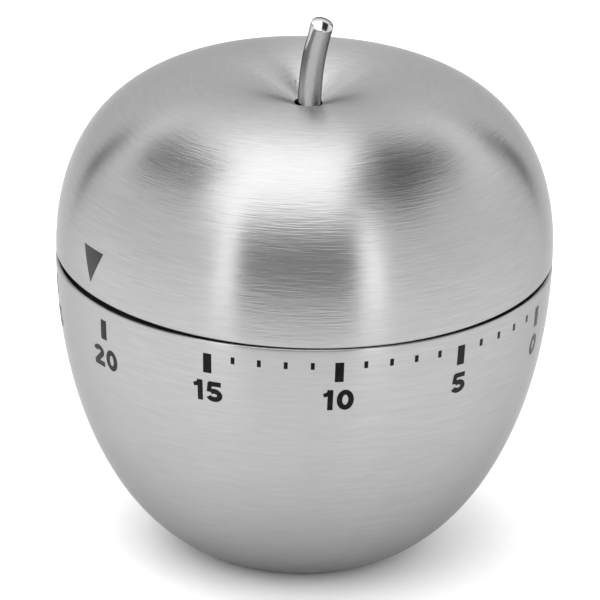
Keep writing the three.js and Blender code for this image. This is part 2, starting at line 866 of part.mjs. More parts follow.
// A helix of round wire.
function coil(radius, wire, turns, bottom, top) {
  const path = new THREE.CatmullRomCurve3(
    Array.from({ length: turns * 8 + 1 }, (_, i) => {
      const [x, y] = polar(radius, (2 * Math.PI * i) / 8);
      return new THREE.Vector3(x, y, bottom + ((top - bottom) * i) / (turns * 8));
    }),
  );
  const section = new THREE.Shape(circle(wire, 5).map(([x, y]) => new THREE.Vector2(x, y)));
  const sweep = { steps: turns * 8, extrudePath: path, bevelEnabled: false };
  return solid(new THREE.ExtrudeGeometry(section, sweep));
}

// ---------------------------------------------------------------- movement: escapement

// In the pallet's frame the fork runs along +X to the balance, and the pins hang below the lever.
const forkBearing = bearing("pallet", "balance");
const pinPlace = (side) => {
  const [x, y] = polar(pinTrack, palletBearing + side * palletSpan);
  return [places.escape[0] + x, places.escape[1] + y];
};

function palletLever() {
  const [px, py] = places.pallet;
  const tail = forkReach - impulseRadius;
  const fork = raised(
    [
      [-0.9, -0.9],
      [0.9, -0.9],
      [tail - 1.4, -0.4],
      [tail - 0.7, -0.85],
      [tail + 0.55, -0.85],
      [tail + 0.55, -0.36],
      [tail - 0.5, -0.36],
      [tail - 0.5, 0.36],
      [tail + 0.55, 0.36],
      [tail + 0.55, 0.85],
      [tail - 0.7, 0.85],
      [tail - 1.4, 0.4],
      [0.9, 0.9],
      [-0.9, 0.9],
    ],
    palletLevel,
  ).rotate([0, 0, THREE.MathUtils.radToDeg(forkBearing)]);
  const arms = [1, -1].map((side) => {
    const [x, y] = pinPlace(side);
    const [dx, dy] = [x - px, y - py];
    const length = Math.hypot(dx, dy);
    return raised(
      [
        [0, -0.55],
        [length + 0.35, -0.38],
        [length + 0.35, 0.38],
        [0, 0.55],
      ],
      palletLevel,
    ).rotate([0, 0, THREE.MathUtils.radToDeg(Math.atan2(dy, dx))]);
  });
  const pins = [1, -1].map((side) => {
    const [x, y] = pinPlace(side);
    return moved(rod(palletPin + fixedGap, palletLevel[0] - 1, palletLevel[1] + 1, 8), [x - px, y - py]);
  });
  const bore = rod(arborRadius + fixedGap, palletLevel[0] - 1, palletLevel[1] + 1);
  return cut(join(fork, ...arms), ...pins, bore);
}

const plainArbor = (radius) =>
  join(rod(pivotRadius, arborBottom, arborTop), rod(radius, plateThickness + 0.3, upperPlateBottom - 0.3));

function balanceStaff() {
  const roller = ring(0, impulseRadius + 0.5, ...rollerLevel, 16);
  return join(plainArbor(slimArborRadius), roller);
}

function balanceWheel() {
  const rim = raised(circle(balanceRadius, innerSides), balanceLevel, [
    circle(slimArborRadius + fixedGap, smallSides),
    ...crossings(3, 1.6, balanceRadius - 1, 1),
  ]);
  return rim;
}

// ---------------------------------------------------------------- movement: bell and hammer

function bell() {
  const crown = bellRim - bellDepth;
  const rise = [
    [4.2, crown],
    [8, crown + 0.9],
    [11.2, crown + 2.9],
    [12.9, crown + 5],
    [bellRadius, bellRim],
  ];
  const inside = offset(rise, bellSheet);
  inside[0] = [4, crown + bellSheet];
  inside[inside.length - 1] = [bellRadius - bellSheet, bellRim];
  return turned(
    [[screwRadius + 0.1, crown], ...rise, ...inside.reverse(), [screwRadius + 0.1, crown + bellSheet]],
    bellSides,
  );
}

function bellPost() {
  const foot = bellRim - bellDepth + bellSheet + seatGap;
  const body = turned(
    [
      [0, foot],
      [bellPostRadius - 0.6, foot],
      [bellPostRadius, foot + 0.6],
      [bellPostRadius, -seatGap],
      [1.7, -seatGap],
      [1.7, -0.9],
      [0, -0.9],
    ],
    fineSides,
  );
  return cut(body, rod(screwRadius + fixedGap, foot - 1, foot + bellScrewLength));
}

const headPolar = bellRadius + hammerStroke + hammerHeadRadius;
const headPlace = polar(headPolar, degrees(hammerHeadAngle));

function hammerArm() {
  const [hx, hy] = places.hammer;
  const [dx, dy] = [headPlace[0] - hx, headPlace[1] - hy];
  const length = Math.hypot(dx, dy);
  const knuckle = rod(1.7, ...armLevel);
  const arm = raised(
    [
      [0, -1.3],
      [length * 0.5, -0.9],
      [length, -1],
      [length + 1, 0],
      [length, 1],
      [length * 0.5, 0.9],
      [0, 1.3],
    ],
    armLevel,
  );
  const bore = rod(arborRadius + fixedGap, armLevel[0] - 1, armLevel[1] + 1);
  const seat = moved(rod(0.55, armLevel[0] - 1, armLevel[1] + 1), [length, 0]);
  const made = cut(join(knuckle, arm), bore, seat);
  return made.rotate([0, 0, THREE.MathUtils.radToDeg(Math.atan2(dy, dx))]);
}

const hammerArbor = () =>
  join(
    rod(pivotRadius, armLevel[1] - 0.2, arborTop),
    rod(arborRadius, armLevel[0] - 0.4, -0.4),
    rod(arborRadius, plateThickness + 0.3, upperPlateBottom - 0.3),
  );

function hammerHead() {
  const top = armLevel[0] - seatGap;
  return join(
    turned([
      [0, bellRim - 2.4],
      [hammerHeadRadius - 0.4, bellRim - 2.4],
      [hammerHeadRadius, bellRim - 2],
      [hammerHeadRadius, top - 0.3],
      [hammerHeadRadius - 0.3, top],
      [0, top],
    ]),
    rod(0.5, top - 0.5, armLevel[1] + 0.3),
  );
}

// A leaf from the hammer's arbor that the trip finger plucks.
function hammerTail() {
  const reach = hammerPolar - fingerReach - fingerToTail;
  const level = [fingerLevel[0] + 0.1, fingerLevel[1] - 0.1];
  const collar = ring(arborRadius + fixedGap, 1.5, ...level, smallSides);
  const leaf = raised(
    [
      [1.3, -0.14],
      [reach, -0.12],
      [reach, 0.12],
      [1.3, 0.14],
    ],
    level,
  ).rotate([0, 0, hammerAngle + 180]);
  return join(collar, leaf);
}

// ---------------------------------------------------------------- assembly

const timer = new THREE.Group();

function group(parent, [x, y] = [0, 0], z = 0, scale = 1) {
  const made = new THREE.Group();
  made.position.set(x, y, z);
  made.scale.setScalar(scale);
  parent.add(made);
  return made;
}

function place(parent, name, made, material, [x, y] = [0, 0], z = 0, turn = 0) {
  const mesh = new THREE.Mesh(geometryOf(made), material);
  mesh.name = name;
  mesh.position.set(x, y, z);
  mesh.rotation.z = turn;
  parent.add(mesh);
}

function addCase() {
  place(timer, "lower_shell", lowerShell(), brushedSteel);
  place(timer, "movement_housing", movementHousing(), blackPlastic);
  place(timer, "base_cover", baseCover(), blackPlastic);
  place(timer, "foot_ring", footRing(), rubber);
  const headSeat = coverLift + 0.9 - seatGap;
  thirds.forEach((angle, n) => {
    const fixing = screw(baseScrewRadius, baseScrewHead, 0.75, baseScrewLength, 2).rotate([180, 0, 0]);
    place(timer, `base_screw_${n + 1}`, fixing, screwSteel, polar(baseScrewCircle, angle), headSeat);
  });
}

function addDial() {
  place(timer, "dome", upperShell(), brushedSteel);
  place(timer, "dial_liner", dialLiner(), blackPlastic);
  place(timer, "stem", stem(), polishedSteel, [stemAside, 0], stemFloor);
  const washerTop = dimpleHeight - sheet * 1.1 - stemWasherDrop;
  const washer = ring(stemThreadRadius + 0.15, stemWasherRadius, -stemWasherHeight, 0);
  place(timer, "stem_washer", washer, screwSteel, [stemAside, 0], washerTop);
  const nut = raised(circle(stemNutAcross / 2, 6), [-stemNutHeight, 0], [
    circle(stemThreadRadius + fixedGap, 16),
  ]);
  place(timer, "stem_nut", nut, screwSteel, [stemAside, 0], washerTop - stemWasherHeight - seatGap);
}

const movement = group(timer, [0, 0], movementOrigin, movementScale);

function addPlates() {
  place(movement, "lower_plate", lowerPlate(), brass);
  place(movement, "upper_plate", upperPlate(), brass);
  pillarPlaces.forEach((spot, n) => {
    place(movement, `pillar_${n + 1}`, pillar(), screwSteel, spot);
    const fixing = screw(screwRadius, screwHead, screwHeadHeight, plateScrewLength);
    place(movement, `plate_screw_${n + 1}`, fixing, screwSteel, spot, upperPlateTop + seatGap);
  });
  housingScrewPlaces.forEach((spot, n) => {
    const fixing = screw(screwRadius, screwHead, screwHeadHeight, housingScrewLength);
    place(movement, `housing_screw_${n + 1}`, fixing, screwSteel, spot, plateThickness + seatGap);
  });
}

function addMainArbor() {
  const fingerAtRest = degrees(hammerAngle + 6 - dialToZero);
  const post = rod(0.7, plateThickness + seatGap, springLevel[1] + 0.2);
  place(movement, "main_shaft", shaft(), polishedSteel);
  place(movement, "ratchet_wheel", ratchetWheel(), screwSteel);
  place(movement, "trip_finger", tripFinger(), screwSteel, [0, 0], 0, fingerAtRest);
  const spring = spiral(shaftRadius + 0.4, springRadius, 5, 0.35, springLevel, springPostAngle, 12);
  place(movement, "mainspring", spring, bluedSteel);
  place(movement, "spring_post", post, screwSteel, springPostPlace);
  const facing = bearing("main", "second");
  const great = trainWheel(stages.great, greatLevel, shaftRadius + pivotGap, facing, shaftCollar, fineSides);
  const rivetHole = moved(rod(rivetRadius + fixedGap, greatLevel[0] - 1, greatLevel[1] + 1), clickPivot);
  place(movement, "great_wheel", cut(great.blank, ...great.windows.slice(1, 4), rivetHole), brass);
  place(movement, "click", click(), screwSteel);
  place(movement, "click_rivet", clickRivet(), screwSteel);
  place(movement, "click_spring", clickSpring(), bluedSteel);
}

function addTrain() {
  const toThird = bearing("second", "third");
  const toEscape = bearing("third", "escape");
  const second = pinionArbor(stages.great, overlapWith(greatLevel), bearing("main", "second"), arborRadius);
  const third = pinionArbor(stages.second, overlapWith(secondLevel), toThird, slimArborRadius);
  const escape = pinionArbor(stages.third, overlapWith(thirdLevel), toEscape, arborRadius);
  const secondWheel = trainWheel(stages.second, secondLevel, arborRadius + fixedGap, toThird, 2);
  const thirdWheel = trainWheel(stages.third, thirdLevel, slimArborRadius + fixedGap, toEscape, 2);
  place(movement, "second_arbor", second, polishedSteel, places.second);
  place(movement, "second_wheel", cut(secondWheel.blank, ...secondWheel.windows), brass, places.second);
  place(movement, "third_arbor", third, polishedSteel, places.third);
  place(movement, "third_wheel", cut(thirdWheel.blank, ...thirdWheel.windows), nylon, places.third);
  place(movement, "escape_arbor", escape, polishedSteel, places.escape);
  place(movement, "escape_wheel", escapeWheel(), brass, places.escape);
}

function addEscapement() {
  const pin = (bottom, top, radius) => rod(radius, bottom, top, 8);
  place(movement, "pallet_lever", palletLever(), brass, places.pallet);
  place(movement, "pallet_arbor", plainArbor(arborRadius), polishedSteel, places.pallet);
  place(movement, "entry_pin", pin(2.3, palletLevel[1], palletPin), polishedSteel, pinPlace(1));
  place(movement, "exit_pin", pin(2.3, palletLevel[1], palletPin), polishedSteel, pinPlace(-1));
  place(movement, "balance_wheel", balanceWheel(), brass, places.balance);
  place(movement, "balance_staff", balanceStaff(), polishedSteel, places.balance);
  const toPallet = polar(impulseRadius, forkBearing + Math.PI);
  const impulsePlace = [places.balance[0] + toPallet[0], places.balance[1] + toPallet[1]];
  place(movement, "impulse_pin", pin(3.5, rollerLevel[0] - seatGap, 0.25), polishedSteel, impulsePlace);
  const hair = spiral(1.1, 4.3, 4, 0.18, hairspringLevel, Math.PI, 12);
  place(movement, "hairspring", hair, bluedSteel, places.balance);
  const stud = rod(0.45, hairspringLevel[0] - 0.3, upperPlateBottom - seatGap);
  place(movement, "hairspring_stud", stud, screwSteel, studPlace);
}

function addAlarm() {
  const crown = bellRim - bellDepth;
  const bellScrew = screw(screwRadius, screwHead, screwHeadHeight, bellScrewLength).rotate([180, 0, 0]);
  place(movement, "bell", bell(), polishedSteel);
  place(movement, "bell_post", bellPost(), screwSteel);
  place(movement, "bell_screw", bellScrew, screwSteel, [0, 0], crown - seatGap);
  place(movement, "hammer_arbor", hammerArbor(), polishedSteel, places.hammer);
  place(movement, "hammer_arm", hammerArm(), screwSteel, places.hammer);
  place(movement, "hammer_head", hammerHead(), brass, headPlace);
  place(movement, "hammer_tail", hammerTail(), bluedSteel, places.hammer);
  place(movement, "hammer_spring", coil(1.35, 0.16, 4, 1.5, 4.1), bluedSteel, places.hammer);
}

addCase();
addDial();
addPlates();
addMainArbor();
addTrain();
addEscapement();
addAlarm();

export default timer;
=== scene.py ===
"""Looks for the apple-shaped kitchen timer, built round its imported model.

Everything is in metres, in the model's frame: +Z up along the dial's axis, -Y the front of the scale.
Lengths that are written in millimetres are turned into metres by mm().
"""

import json
import math

import bmesh
import bpy
from mathutils import Matrix, Vector
from mathutils.geometry import delaunay_2d_cdt


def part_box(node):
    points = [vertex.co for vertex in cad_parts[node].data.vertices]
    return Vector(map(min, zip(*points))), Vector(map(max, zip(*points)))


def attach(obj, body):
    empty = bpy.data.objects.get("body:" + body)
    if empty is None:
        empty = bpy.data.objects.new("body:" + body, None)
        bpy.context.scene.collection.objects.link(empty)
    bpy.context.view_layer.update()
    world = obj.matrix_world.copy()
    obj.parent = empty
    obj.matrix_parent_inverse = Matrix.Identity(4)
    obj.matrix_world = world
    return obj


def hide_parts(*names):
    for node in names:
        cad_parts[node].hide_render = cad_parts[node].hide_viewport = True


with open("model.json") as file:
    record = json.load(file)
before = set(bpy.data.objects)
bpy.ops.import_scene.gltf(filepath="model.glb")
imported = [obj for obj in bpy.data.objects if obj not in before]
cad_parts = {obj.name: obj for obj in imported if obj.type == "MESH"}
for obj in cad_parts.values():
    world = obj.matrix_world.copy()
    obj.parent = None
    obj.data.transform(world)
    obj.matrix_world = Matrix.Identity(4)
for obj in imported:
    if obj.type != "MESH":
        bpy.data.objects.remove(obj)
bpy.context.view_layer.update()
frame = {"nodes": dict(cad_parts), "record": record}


def mm(value):
    return value * 0.001


# ---------------------------------------------------------------- sizes, from the frame

DOME_LOW, DOME_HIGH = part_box("dome")
BOWL_LOW, BOWL_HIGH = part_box("lower_shell")

SEAM = (DOME_LOW.z + BOWL_HIGH.z) / 2
RADIUS = DOME_HIGH.x
CREST = DOME_HIGH.z
WIDEST = SEAM + mm(1.33)
CREST_RADIUS = mm(11.9)
DIMPLE_DEPTH = mm(2.8)
DIMPLE = CREST - DIMPLE_DEPTH
SHEET = mm(0.5)
STEM_RADIUS = mm(1.4)
STEM_HOLE = mm(1.7)
STEM_FOOT = Vector((mm(0.15), mm(-0.2), 0))
STEM_RISE = mm(10.6)
STEM_BEND = math.radians(23)
STEM_BEARING = math.radians(-54)
UNDERSIDE_RADIUS = mm(13)
UNDERSIDE = mm(0.5)
UNDERSIDE_SLOPE = math.radians(24)
BASE_OPENING = mm(12.2)
ROUND = 256  # facets round a visible shell

# The scale. Minutes run from right to left under the seam.
ZERO_ANGLE = math.radians(68.5)  # of the zero mark, from the front towards +X
MINUTE = math.radians(6)
OFF_CENTRE = math.radians(0.9)
POINTER_ANGLE = ZERO_ANGLE - 21 * MINUTE


# ---------------------------------------------------------------- shader kit


class Value:
    """A node socket that takes part in Python arithmetic by adding Math nodes."""

    def __init__(self, material, socket):
        self.material = material
        self.socket = socket

    def _math(self, operation, *operands):
        inputs = {i: operand for i, operand in enumerate(operands)}
        return self.material.node("ShaderNodeMath", {"operation": operation}, inputs)

    def __add__(self, other):
        return self._math("ADD", self, other)

    __radd__ = __add__

    def __mul__(self, other):
        return self._math("MULTIPLY", self, other)

    __rmul__ = __mul__

    def __sub__(self, other):
        return self._math("SUBTRACT", self, other)

    def __rsub__(self, other):
        return self._math("SUBTRACT", other, self)

    def __truediv__(self, other):
        return self._math("DIVIDE", self, other)

    def __rtruediv__(self, other):
        return self._math("DIVIDE", other, self)

    def __pow__(self, other):
        return self._math("POWER", self, other)

    def __abs__(self):
        return self._math("ABSOLUTE", self)

    def smooth(self, low, high):
        """0 below low, 1 above high, and a smooth step between them."""
        settings = {"interpolation_type": "SMOOTHSTEP", "clamp": True}
        return self.material.node("ShaderNodeMapRange", settings, {0: self, 1: low, 2: high})


class Material:
    """A node material. node() adds any node; its result is the wrapped socket of one output."""

    def __init__(self, name):
        self.data = bpy.data.materials.new(name)
        self.data.use_nodes = True
        self.tree = self.data.node_tree
        self.tree.nodes.clear()
        self.end = self.tree.nodes.new("ShaderNodeOutputMaterial")

    def node(self, kind, settings=None, inputs=None, output=0):
        made = self.tree.nodes.new(kind)
        for key, setting in (settings or {}).items():
            if key == "stops":
                self._stops(made.color_ramp, setting)
            else:
                setattr(made, key, setting)
        for key, given in (inputs or {}).items():
            if isinstance(given, Value):
                self.tree.links.new(given.socket, made.inputs[key])
            else:
                made.inputs[key].default_value = given
        return Value(self, made.outputs[output])

    @staticmethod
    def _stops(ramp, stops):
        while len(ramp.elements) > len(stops):
            ramp.elements.remove(ramp.elements[-1])
        while len(ramp.elements) < len(stops):
            ramp.elements.new(1)
        for element, (position, colour) in zip(ramp.elements, stops):
            element.position = position
            element.color = (*colour, 1)

    def place(self):
        """The point's place in the object, which is its place in the frame."""
        return self.node("ShaderNodeTexCoord", output="Object")

    def parts(self, vector):
        return [self.node("ShaderNodeSeparateXYZ", inputs={0: vector}, output=i) for i in range(3)]

    def vector(self, x, y, z):
        return self.node("ShaderNodeCombineXYZ", inputs={0: x, 1: y, 2: z})

    def noise(self, vector, scale, detail=2.0, roughness=0.5):
        inputs = {"Vector": vector, "Scale": scale, "Detail": detail, "Roughness": roughness}
        return self.node("ShaderNodeTexNoise", {"noise_dimensions": "3D"}, inputs)

    def mix(self, factor, first, second):
        """A colour between two colours."""
        settings = {"data_type": "RGBA", "clamp_factor": True}
        colours = {"Factor": factor, 6: (*first, 1), 7: (*second, 1)}
        return self.node("ShaderNodeMix", settings, colours, output=2)

    def bump(self, height, strength, distance):
        inputs = {"Height": height, "Strength": strength, "Distance": distance}
        return self.node("ShaderNodeBump", inputs=inputs)

    def finish(self, shader):
        self.tree.links.new(shader.socket, self.end.inputs["Surface"])
        return self.data

    def principled(self, **sockets):
        """Sets Principled sockets by name, with underscores for spaces, and ends the material."""
        inputs = {name.replace("_", " "): given for name, given in sockets.items()}
        return self.finish(self.node("ShaderNodeBsdfPrincipled", inputs=inputs))


# ---------------------------------------------------------------- materials


STEEL_DARK = (0.325, 0.325, 0.328)
STEEL_LIGHT = (0.365, 0.365, 0.368)


def brushed_steel(name, outward, depth):
    """Sheet steel brushed round the axis.

    The lines are circles, so they vary fast along a shell's profile and only slowly round the axis. The
    place on the profile is height plus outward times radius: outward is 1 where a shell widens on its way
    up, and -1 where it closes in. depth is that of the deepest lines.
    """
    m = Material(name)
    x, y, z = m.parts(m.place())
    radius = (x * x + y * y) ** 0.5 + 1e-6
    along = z + radius * outward
    ring = (x / radius, y / radius)

    def dashes(per_turn, per_metre, detail, seed):
        """Noise drawn out into dashes that follow the turning."""
        spot = m.vector(ring[0] * per_turn + seed, ring[1] * per_turn, along * per_metre)
        return m.noise(spot, 1.0, detail, 0.6)

    fine = dashes(7, 3600, 2.0, 0)
    coarse = dashes(3, 1300, 2.0, 5)
    scratches = dashes(5, 3000, 1.0, 9).smooth(0.66, 0.76)
    cloud = m.noise(m.vector(x * 60, y * 60, z * 90), 1.0, 2.0)
    grain = fine * 0.55 + coarse * 0.25 + cloud * 0.2
    return m.principled(
        Base_Color=m.mix(grain.smooth(0.3, 0.7) - scratches * 0.5, STEEL_DARK, STEEL_LIGHT),
        Metallic=1.0,
        Roughness=0.26 + grain * 0.08,
        Specular_Tint=(0.62, 0.62, 0.62, 1),
        Anisotropic=0.83,
        Anisotropic_Rotation=0.25,
        Normal=m.bump(fine * 0.75 + coarse * 0.35 - scratches * 0.12, 1.0, depth),
    )


def polished_steel(name):
    """Bright drawn bar, with fine lines along it and faint handling marks."""
    m = Material(name)
    x, y, z = m.parts(m.place())
    drawn = m.noise(m.vector(x * 5200, y * 5200, z * 220), 1.0, 2.0)
    marks = m.noise(m.vector(x * 500, y * 500, z * 420), 1.0, 3.0)
    return m.principled(
        Base_Color=m.mix(marks, (0.44, 0.44, 0.445), (0.50, 0.50, 0.505)),
        Metallic=1.0,
        Roughness=0.07 + drawn * 0.06 + marks.smooth(0.55, 0.8) * 0.06,
        Specular_Tint=(0.08, 0.08, 0.08, 1),
        Normal=m.bump(drawn * 0.5 + marks, 0.12, mm(0.01)),
    )


def machined_steel(name, dark=(0.42, 0.42, 0.43), light=(0.55, 0.55, 0.56)):
    m = Material(name)
    place = m.place()
    turning = m.noise(place, 2600, 2.0)
    patches = m.noise(place, 320, 3.0)
    return m.principled(
        Base_Color=m.mix(patches, dark, light),
        Metallic=1.0,
        Roughness=0.26 + turning * 0.12,
        Normal=m.bump(turning, 0.15, mm(0.01)),
    )


def stamped_brass(name):
    m = Material(name)
    x, y, z = m.parts(m.place())
    grain = m.noise(m.vector(x * 260, y * 3800, z * 3800), 1.0, 2.0)
    tarnish = m.noise(m.vector(x * 130, y * 130, z * 130), 1.0, 4.0)
    return m.principled(
        Base_Color=m.mix(tarnish.smooth(0.3, 0.75), (0.78, 0.58, 0.24), (0.55, 0.38, 0.16)),
        Metallic=1.0,
        Roughness=0.28 + grain * 0.1 + tarnish * 0.08,
        Normal=m.bump(grain, 0.15, mm(0.01)),
    )


def moulded(name, low, high, roughness, texture_size, depth):
    """Moulded plastic or rubber with a fine spark-eroded texture."""
    m = Material(name)
    place = m.place()
    texture = m.noise(place, 1 / texture_size, 3.0, 0.6)
    flow = m.noise(place, 90, 2.0)
    return m.principled(
        Base_Color=m.mix(texture * 0.5 + flow * 0.5, low, high),
        Roughness=roughness + texture * 0.12 - flow * 0.05,
        Normal=m.bump(texture, 0.35, depth),
    )


def printing_ink(name, low, high):
    """Pad-printed ink, a little thinner and greyer where the steel's lines show through.

    Its shine is weak seen straight on and full at a slant.
    """
    m = Material(name)
    x, y, z = m.parts(m.place())
    lines = m.noise(m.vector(x * 180, y * 180, z * 5200), 1.0, 2.0)
    cover = m.noise(m.vector(x * 900, y * 900, z * 900), 1.0, 2.0)
    return m.principled(
        Base_Color=m.mix((lines * 0.6 + cover * 0.4).smooth(0.35, 0.8), low, high),
        Roughness=0.38 + cover * 0.14,
        Specular_IOR_Level=0.4,
        Specular_Tint=(0.12, 0.12, 0.12, 1),
        Normal=m.bump(lines, 0.1, mm(0.006)),
    )


STEEL_DOME = brushed_steel("brushed_steel_dome", -1.0, mm(0.052))
STEEL_BOWL = brushed_steel("brushed_steel_bowl", 1.0, mm(0.022))
POLISHED = polished_steel("polished_steel")
SCREW = machined_steel("screw_steel")
BLUED = machined_steel("blued_steel", (0.05, 0.07, 0.14), (0.12, 0.14, 0.22))
BRASS = stamped_brass("stamped_brass")
BLACK = moulded("black_moulding", (0.012, 0.012, 0.012), (0.022, 0.022, 0.022), 0.5, mm(0.25), mm(0.02))
NYLON = moulded("nylon_moulding", (0.66, 0.64, 0.57), (0.74, 0.72, 0.66), 0.42, mm(0.4), mm(0.01))
RUBBER = moulded("foot_rubber", (0.014, 0.014, 0.014), (0.03, 0.03, 0.03), 0.72, mm(0.18), mm(0.03))
INK = printing_ink("scale_ink", (0.002, 0.002, 0.002), (0.008, 0.008, 0.008))
POINTER_INK = printing_ink("pointer_ink", (0.02, 0.02, 0.02), (0.036, 0.036, 0.036))

FINISH = {
    "brushed_steel": STEEL_BOWL,
    "polished_steel": POLISHED,
    "blued_steel": BLUED,
    "screw_steel": SCREW,
    "brass": BRASS,
    "black_plastic": BLACK,
    "nylon": NYLON,
    "rubber": RUBBER,
}


# ---------------------------------------------------------------- mesh kit


def bezier(points, count):
    """Points on a cubic curve, both ends included."""
    a, b, c, d = (Vector(p) for p in points)
    curve = []
    for i in range(count + 1):
        t = i / count
        curve.append(a * (1 - t) ** 3 + b * 3 * t * (1 - t) ** 2 + c * 3 * t * t * (1 - t) + d * t**3)
    return [tuple(p) for p in curve]


def offset(line, distance):
    """The line moved square to itself, to its left."""
    moved = []
    for i, (r, z) in enumerate(line):
        before, after = line[max(i - 1, 0)], line[min(i + 1, len(line) - 1)]
        along = Vector(after) - Vector(before)
        along.normalize()
        moved.append((r - along.y * distance, z + along.x * distance))
    return moved


def arc(centre, radius, start, end, count):
    """Points of an arc in the profile's plane, with angles in degrees."""
    angles = [math.radians(start + (end - start) * i / count) for i in range(count + 1)]
    return [(centre[0] + radius * math.cos(a), centre[1] + radius * math.sin(a)) for a in angles]


def radius_at(line, height):
    """Where a rising line crosses a height."""
    for (r0, z0), (r1, z1) in zip(line, line[1:]):
        if z0 <= height <= z1:
            return r0 + (r1 - r0) * (height - z0) / (z1 - z0)
    return line[-1][0]


def new_object(name, mesh, material, sharp=35):
    piece = bpy.data.objects.new(name, mesh)
    bpy.context.scene.collection.objects.link(piece)
    mesh.materials.append(material)
    mesh.polygons.foreach_set("use_smooth", [True] * len(mesh.polygons))
    mesh.set_sharp_from_angle(angle=math.radians(sharp))
    return piece


def from_bmesh(name, bm, material, sharp=35):
    bmesh.ops.recalc_face_normals(bm, faces=bm.faces)
    mesh = bpy.data.meshes.new(name)
    bm.to_mesh(mesh)
    bm.free()
    return new_object(name, mesh, material, sharp)


def turned(profile, sides=ROUND, shape=None):
    """A closed profile of (radius, height) points turned about Z.

    shape(radius, height, angle), if given, says where each point goes.
    """
    bm = bmesh.new()
    rings = []
    for r, z in profile:
        if r < 1e-9:
            rings.append([bm.verts.new((0, 0, z))])
            continue
        ring = []
        for i in range(sides):
            angle = 2 * math.pi * i / sides
            radius, height = shape(r, z, angle) if shape else (r, z)
            ring.append(bm.verts.new((radius * math.cos(angle), radius * math.sin(angle), height)))
        rings.append(ring)
    for first, second in zip(rings, rings[1:] + rings[:1]):
        if len(first) == 1 and len(second) == 1:
            continue
        for i in range(sides):
            j = (i + 1) % sides
            low = [first[i % len(first)], first[j % len(first)]]
            high = [second[j % len(second)], second[i % len(second)]]
            bm.faces.new(dict.fromkeys(low + high))
    return bm


def cut(piece, *tools):
    """Cuts tools out of a piece and removes them."""
    for tool in tools:
        change = piece.modifiers.new("cut", "BOOLEAN")
        change.operation = "DIFFERENCE"
        change.solver = "EXACT"
        change.object = tool
    bpy.context.view_layer.update()
    result = piece.evaluated_get(bpy.context.evaluated_depsgraph_get())
    mesh = bpy.data.meshes.new_from_object(result)
    piece.modifiers.clear()
    piece.data = mesh
    for tool in tools:
        bpy.data.objects.remove(tool)
    return piece


def prism(outline, low, high):
    """A flat outline of (x, y) points raised between two heights."""
    bm = bmesh.new()
    bottom = [bm.verts.new((x, y, low)) for x, y in outline]
    top = [bm.verts.new((x, y, high)) for x, y in outline]
    bm.faces.new(bottom)
    bm.faces.new(top)
    for i in range(len(outline)):
        j = (i + 1) % len(outline)
        bm.faces.new((bottom[i], bottom[j], top[j], top[i]))
    return bm


def settle(piece, body, slot, *nodes):
    """Rides a finished piece on its body and hides the nodes that it stands for. slot is not used."""
    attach(piece, body)
    if nodes:
        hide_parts(*nodes)
    return piece


# ---------------------------------------------------------------- shells


def bowl_line(count=48):
    """The bowl's outside, from its opening below up to where the timer is widest."""
    fullness = mm(10.4)
    flank = 0.507 * (WIDEST - UNDERSIDE)
    start = (UNDERSIDE_RADIUS, UNDERSIDE)
    turn = (
        UNDERSIDE_RADIUS + fullness * math.cos(UNDERSIDE_SLOPE),
        UNDERSIDE + fullness * math.sin(UNDERSIDE_SLOPE),
    )
    return bezier([start, turn, (RADIUS, WIDEST - flank), (RADIUS, WIDEST)], count)


def dome_line(count=48):
    """The dome's outside, from where the timer is widest up to the crest."""
    flank = (RADIUS, WIDEST + 0.713 * (CREST - WIDEST))
    shoulder = (CREST_RADIUS + 0.505 * (RADIUS - CREST_RADIUS), CREST)
    return bezier([(RADIUS, WIDEST), flank, shoulder, (CREST_RADIUS, CREST)], count)


def dimple_line(count=24):
    """The dimple, from the crest down to the stem's hole."""
    run = CREST_RADIUS - STEM_HOLE
    brow = (CREST_RADIUS - 0.42 * run, CREST)
    slope = (STEM_HOLE + 0.27 * run, DIMPLE + 0.42 * DIMPLE_DEPTH)
    return bezier([(CREST_RADIUS, CREST), brow, slope, (STEM_HOLE, DIMPLE)], count)


BOWL = bowl_line()
DOME = dome_line()

# The shells are not quite flat at the seam, so its gap is narrow at the front and the back and opens at
# both sides, more at the left. Each is a middle height and its swings. A swing is its height, where it is
# highest (from the front towards +X) and how often it comes in a turn.
SEAM_GAP = (mm(0.465), [(mm(0.355), math.radians(95), 2), (mm(0.105), math.radians(-90), 1)])
BOWL_EDGE = (mm(-0.11), [(mm(0.11), math.radians(90), 1)])  # from the nominal height of the bowl's edge
EDGE_ROOM = SHEET * 0.55  # height that a profile leaves for its folded edge


def wave(shape, angle):
    """A height that swings round the seam; angle is from +X."""
    middle, swings = shape
    from_front = angle + math.pi / 2
    return middle + sum(h * math.cos(times * (from_front - highest)) for h, highest, times in swings)


def seam_edge(radius, height, up):
    """The folded edge of a shell at the seam: a half round as thick as the sheet."""
    centre = (radius - SHEET / 2, height - up * SHEET / 2)
    return arc(centre, SHEET / 2, 0, up * 180, 8)


def fade(distance, reach):
    """1 at no distance, and 0 from reach on."""
    return min(max(1 - distance / reach, 0), 1)


def lower_shell():
    """The bowl: open underneath, with a folded edge at the seam."""
    top, bend = BOWL_HIGH.z, mm(3)
    outside = [p for p in BOWL if p[1] < top - EDGE_ROOM]
    rim = [(BASE_OPENING, BOWL_LOW.z), *outside]
    inside = offset(rim, SHEET)
    edge = seam_edge(radius_at(BOWL, top), top, 1)

    def sunk(r, z, angle):
        return r, z + wave(BOWL_EDGE, angle) * fade(top - z, bend)

    bm = turned([*rim, *edge, *reversed(inside)], shape=sunk)
    piece = from_bmesh("bowl_shell", bm, STEEL_BOWL, 40)
    return settle(piece, "base", "brushed_steel", "lower_shell")


